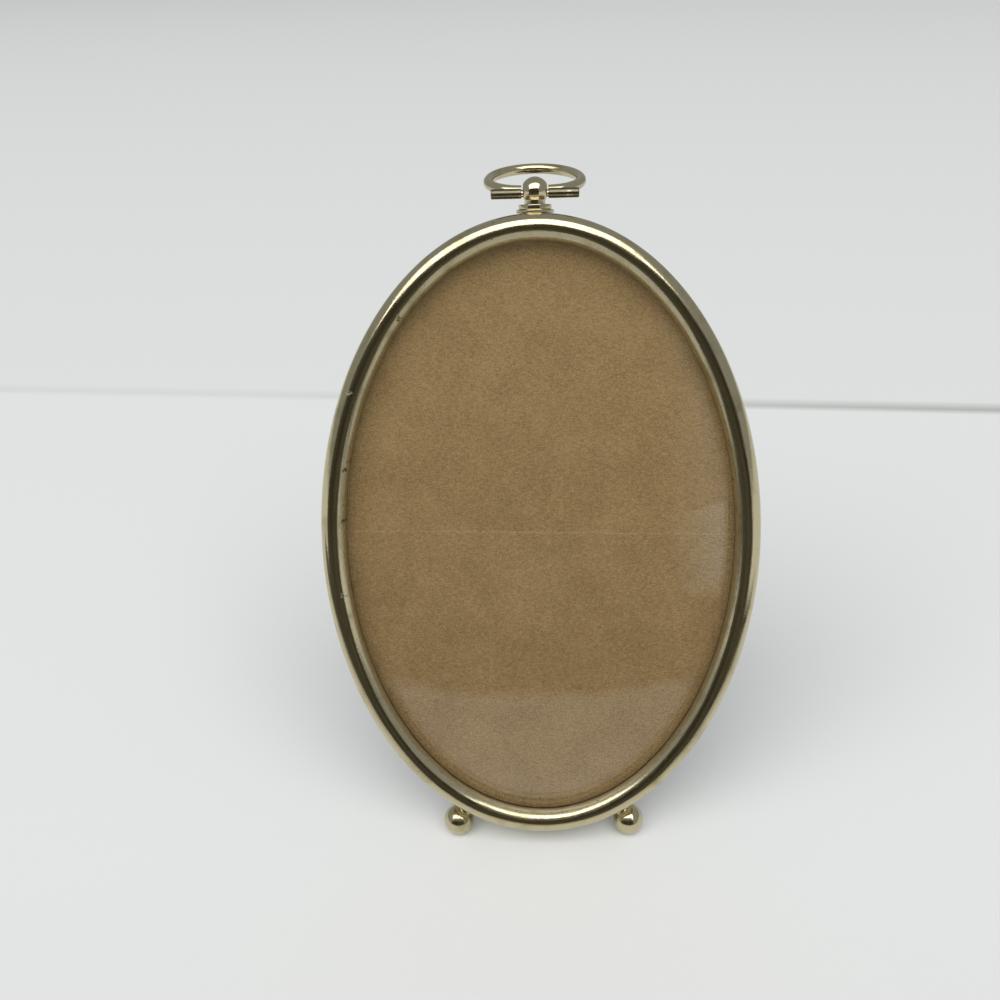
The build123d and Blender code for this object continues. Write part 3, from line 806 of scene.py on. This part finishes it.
studio = {
    "tableColour": "#ebecea",
    "backdropColour": "#e8e9e6",
    "tableReach": 20.0,    # m to each side
    "seam": 0.258,         # m behind the object, where the backdrop's cloth begins
    "seamSlope": 0.092,    # m nearer for each metre to the right
    # the colour of the painted shadow in the gap at the seam
    "seamShade": "#b6b6b0",
    "seamFade": 0.024,     # m before and behind it, in which the tones change
    "seamTones": (0.45, 0.56),         # of that width, where the table ends and the cloth begins
    "seamGap": (0.38, 0.5, 0.7),       # of that width, where the gap's shade begins, is full and ends
    "seamDeepens": (-0.15, 0.25),      # m across, from where to where the gap's shade deepens
    "seamLeast": 0.2,                  # of the gap's full shade, at the left
    "roomColour": "#f2f6fa",
    "roomStrength": 0.37,
    "keyHeight": 57.0,     # degrees above the table
    "keyDistance": 14.0,   # m
    "keyAcross": -2.5,     # m, so that its middle stands to the left
    "keySize": (24.0, 11.4),   # m, wide and high
    "keyRadiance": 2.6,    # W per square metre and steradian
    # the dark sheet: a dim glow seen only in reflections, painted reflection of the dark in front and,
    # on the table, painted shadow
    "flagSides": (-0.45, 0.30),        # m across
    "flagEdges": [(-0.045, 0.002), (-0.36, 0.002), (-0.36, 0.425)],   # back and up, from its near edge
    "flagSheer": (0.21, 0.30),         # m across, where it thins out at the right
    "flagHem": 0.03,                   # m, in which it thins out at its near edge
    # painted reflection: the sheet hides less from steeper rays than from shallower ones
    "flagSteep": (0.352, 0.378),       # how steeply down the rays come between which its pile thins out
    "flagCover": (0.95, 0.3),          # of what is behind it, hidden from shallower and steeper rays
    "flagFolds": (0.3, 1.5),           # of its light, in the folds and between them
    "flagColour": "#3a3527",
}


def panel(name, sides, edges, material):
    # a sheet between two sides, bent along straight edges (back, up)
    corners = [(across, back, up) for back, up in edges for across in sides]
    faces = [(k, k + 1, k + 3, k + 2) for k in range(0, len(corners) - 2, 2)]
    mesh = bpy.data.meshes.new(name)
    mesh.from_pydata(corners, [], faces)
    mesh.materials.append(material)
    piece = bpy.data.objects.new(name, mesh)
    bpy.context.scene.collection.objects.link(piece)
    return piece


def tableMaterial():
    # White laminate, with a pale cloth beyond its far edge and a painted shadow in the gap at the seam
    # between them, deeper to the right. To the eye: even, almost matt.
    material, tree, shader = newMaterial("whiteLaminate")
    place = addNode(tree, "ShaderNodeTexCoord").outputs["Object"]
    across, back, _ = addNode(tree, "ShaderNodeSeparateXYZ", None, {"Vector": place}).outputs
    line = addNode(tree, "ShaderNodeMath", {"operation": "MULTIPLY_ADD"}, {
        0: across, 1: studio["seamSlope"], 2: back}).outputs[0]
    edge = addNode(tree, "ShaderNodeMapRange", None, {
        "Value": line, "From Min": studio["seam"] - studio["seamFade"],
        "From Max": studio["seam"] + studio["seamFade"]}).outputs[0]
    ground = addNode(tree, "ShaderNodeValToRGB", {"stops": [
        (studio["seamTones"][0], linear(studio["tableColour"])),
        (studio["seamTones"][1], linear(studio["backdropColour"]))]}, {"Fac": edge}).outputs[0]
    # painted shadow in the gap at the seam, deeper toward the right
    black, white = (0, 0, 0, 1), (1, 1, 1, 1)
    gap = addNode(tree, "ShaderNodeValToRGB", {
        "stops": list(zip(studio["seamGap"], (black, white, black)))}, {"Fac": edge}).outputs[0]
    deeper = addNode(tree, "ShaderNodeMapRange", None, {
        "Value": across, "From Min": studio["seamDeepens"][0], "From Max": studio["seamDeepens"][1],
        "To Min": studio["seamLeast"], "To Max": 1.0}).outputs[0]
    shade = addNode(tree, "ShaderNodeMath", {"operation": "MULTIPLY"}, {0: gap, 1: deeper}).outputs[0]
    colour = addNode(tree, "ShaderNodeMix", {"data_type": "RGBA"}, {
        "Factor": shade, "A": ground, "B": linear(studio["seamShade"])}).outputs["Result"]
    tree.links.new(colour, shader.inputs["Base Color"])
    shader.inputs["Roughness"].default_value = 0.7
    return material


def paintedShadeSheet():
    # A dark sheet standing in front of the object and lying on the table toward it, glowing dimly:
    # painted reflection of the dark in front, and where it lies on the table, a painted shadow. The eye
    # meets it in
    # reflections only: soft at its near edge and its right side, uneven where it folds, and thinner to
    # steeper rays.
    material = bpy.data.materials.new("paintedShadeSheet")
    material.use_nodes = True
    tree = material.node_tree
    tree.nodes.clear()
    place = addNode(tree, "ShaderNodeTexCoord").outputs["Object"]
    across, back, _ = addNode(tree, "ShaderNodeSeparateXYZ", None, {"Vector": place}).outputs
    folds = addNode(tree, "ShaderNodeTexNoise", None, {
        "Vector": place, "Scale": 9.0, "Detail": 3.0}).outputs["Fac"]
    strength = addNode(tree, "ShaderNodeMapRange", None, {
        "Value": folds, "From Min": 0.35, "From Max": 0.65,
        "To Min": studio["flagFolds"][0], "To Max": studio["flagFolds"][1]}).outputs[0]
    rays = addNode(tree, "ShaderNodeNewGeometry").outputs["Incoming"]
    _, _, steepness = addNode(tree, "ShaderNodeSeparateXYZ", None, {"Vector": rays}).outputs
    coverBySteepness = addNode(tree, "ShaderNodeMapRange", None, {
        "Value": steepness, "From Min": studio["flagSteep"][0], "From Max": studio["flagSteep"][1],
        "To Min": studio["flagCover"][0], "To Max": studio["flagCover"][1]}).outputs[0]
    near = studio["flagEdges"][0][0]
    hem = addNode(tree, "ShaderNodeMapRange", None, {
        "Value": back, "From Min": near, "From Max": near - studio["flagHem"],
        "To Min": 0.0, "To Max": 1.0}).outputs[0]
    cover = addNode(tree, "ShaderNodeMath", {"operation": "MULTIPLY"}, {0: coverBySteepness, 1: hem}).outputs[0]
    sheer = addNode(tree, "ShaderNodeMapRange", None, {
        "Value": across, "From Min": studio["flagSheer"][0], "From Max": studio["flagSheer"][1],
        "To Min": 1.0, "To Max": 0.0}).outputs[0]
    inside = addNode(tree, "ShaderNodeMath", {"operation": "MULTIPLY"}, {0: cover, 1: sheer}).outputs[0]
    direct = addNode(tree, "ShaderNodeLightPath").outputs["Is Camera Ray"]
    unseen = addNode(tree, "ShaderNodeMath", {"operation": "SUBTRACT"}, {0: 1.0, 1: direct}).outputs[0]
    shown = addNode(tree, "ShaderNodeMath", {"operation": "MULTIPLY"}, {0: inside, 1: unseen}).outputs[0]
    dark = addNode(tree, "ShaderNodeEmission", None, {
        "Color": linear(studio["flagColour"]), "Strength": strength}).outputs[0]
    clear = addNode(tree, "ShaderNodeBsdfTransparent").outputs[0]
    mix = addNode(tree, "ShaderNodeMixShader", None, {0: shown, 1: clear, 2: dark}).outputs[0]
    addNode(tree, "ShaderNodeOutputMaterial", None, {"Surface": mix})
    return material


middle = Vector(standing([[0, 0, 0]])[0])
reach = studio["tableReach"]
panel("table", (-reach, reach), [(-reach, 0), (reach, 0)], tableMaterial())

camera = {
    "place": (-0.00054, -0.22436, 0.21606),   # m
    "turn": (60.26924, 1.74257, 1.43218),     # degrees
    "lens": 36.072,                           # mm, on a sensor 36 mm wide
}
viewpoint = bpy.data.cameras.new("photoCamera")
viewpoint.lens = camera["lens"]
viewpoint.sensor_width = 36.0
viewpoint.clip_start = 0.01
cameraObject = bpy.data.objects.new("photoCamera", viewpoint)
cameraObject.location = camera["place"]
cameraObject.rotation_euler = [radians(angle) for angle in camera["turn"]]
bpy.context.scene.collection.objects.link(cameraObject)
bpy.context.scene.camera = cameraObject

flag = panel("paintedShadeSheet", studio["flagSides"], studio["flagEdges"], paintedShadeSheet())
flag.visible_shadow = False
flag.visible_diffuse = False


def softLight(name, place, target, size, power):
    # a glowing rectangle at a place, turned to its target; its power is in watts
    lamp = bpy.data.lights.new(name, "AREA")
    lamp.shape = "RECTANGLE"
    lamp.size, lamp.size_y = size
    lamp.energy = power
    lightObject = bpy.data.objects.new(name, lamp)
    lightObject.location = place
    lightObject.rotation_euler = (Vector(target) - Vector(place)).to_track_quat("-Z", "Y").to_euler()
    bpy.context.scene.collection.objects.link(lightObject)


raised = radians(studio["keyHeight"])
# a panel's power is pi times its area times its radiance
keyPower = pi * studio["keySize"][0] * studio["keySize"][1] * studio["keyRadiance"]
aim = middle + Vector((studio["keyAcross"], 0, 0))
softLight("overheadSoftbox", aim + studio["keyDistance"] * Vector((0, -cos(raised), sin(raised))), aim,
          studio["keySize"], keyPower)

world = bpy.data.worlds.new("paleRoom")
bpy.context.scene.world = world
world.use_nodes = True
tree = world.node_tree
tree.nodes.clear()
background = addNode(tree, "ShaderNodeBackground", None, {
    "Color": linear(studio["roomColour"]), "Strength": studio["roomStrength"]})
addNode(tree, "ShaderNodeOutputWorld", None, {"Surface": background.outputs[0]})
bpy.context.scene.view_settings.view_transform = "Standard"
print("stage set: table, dark cloth, camera, soft light and room")
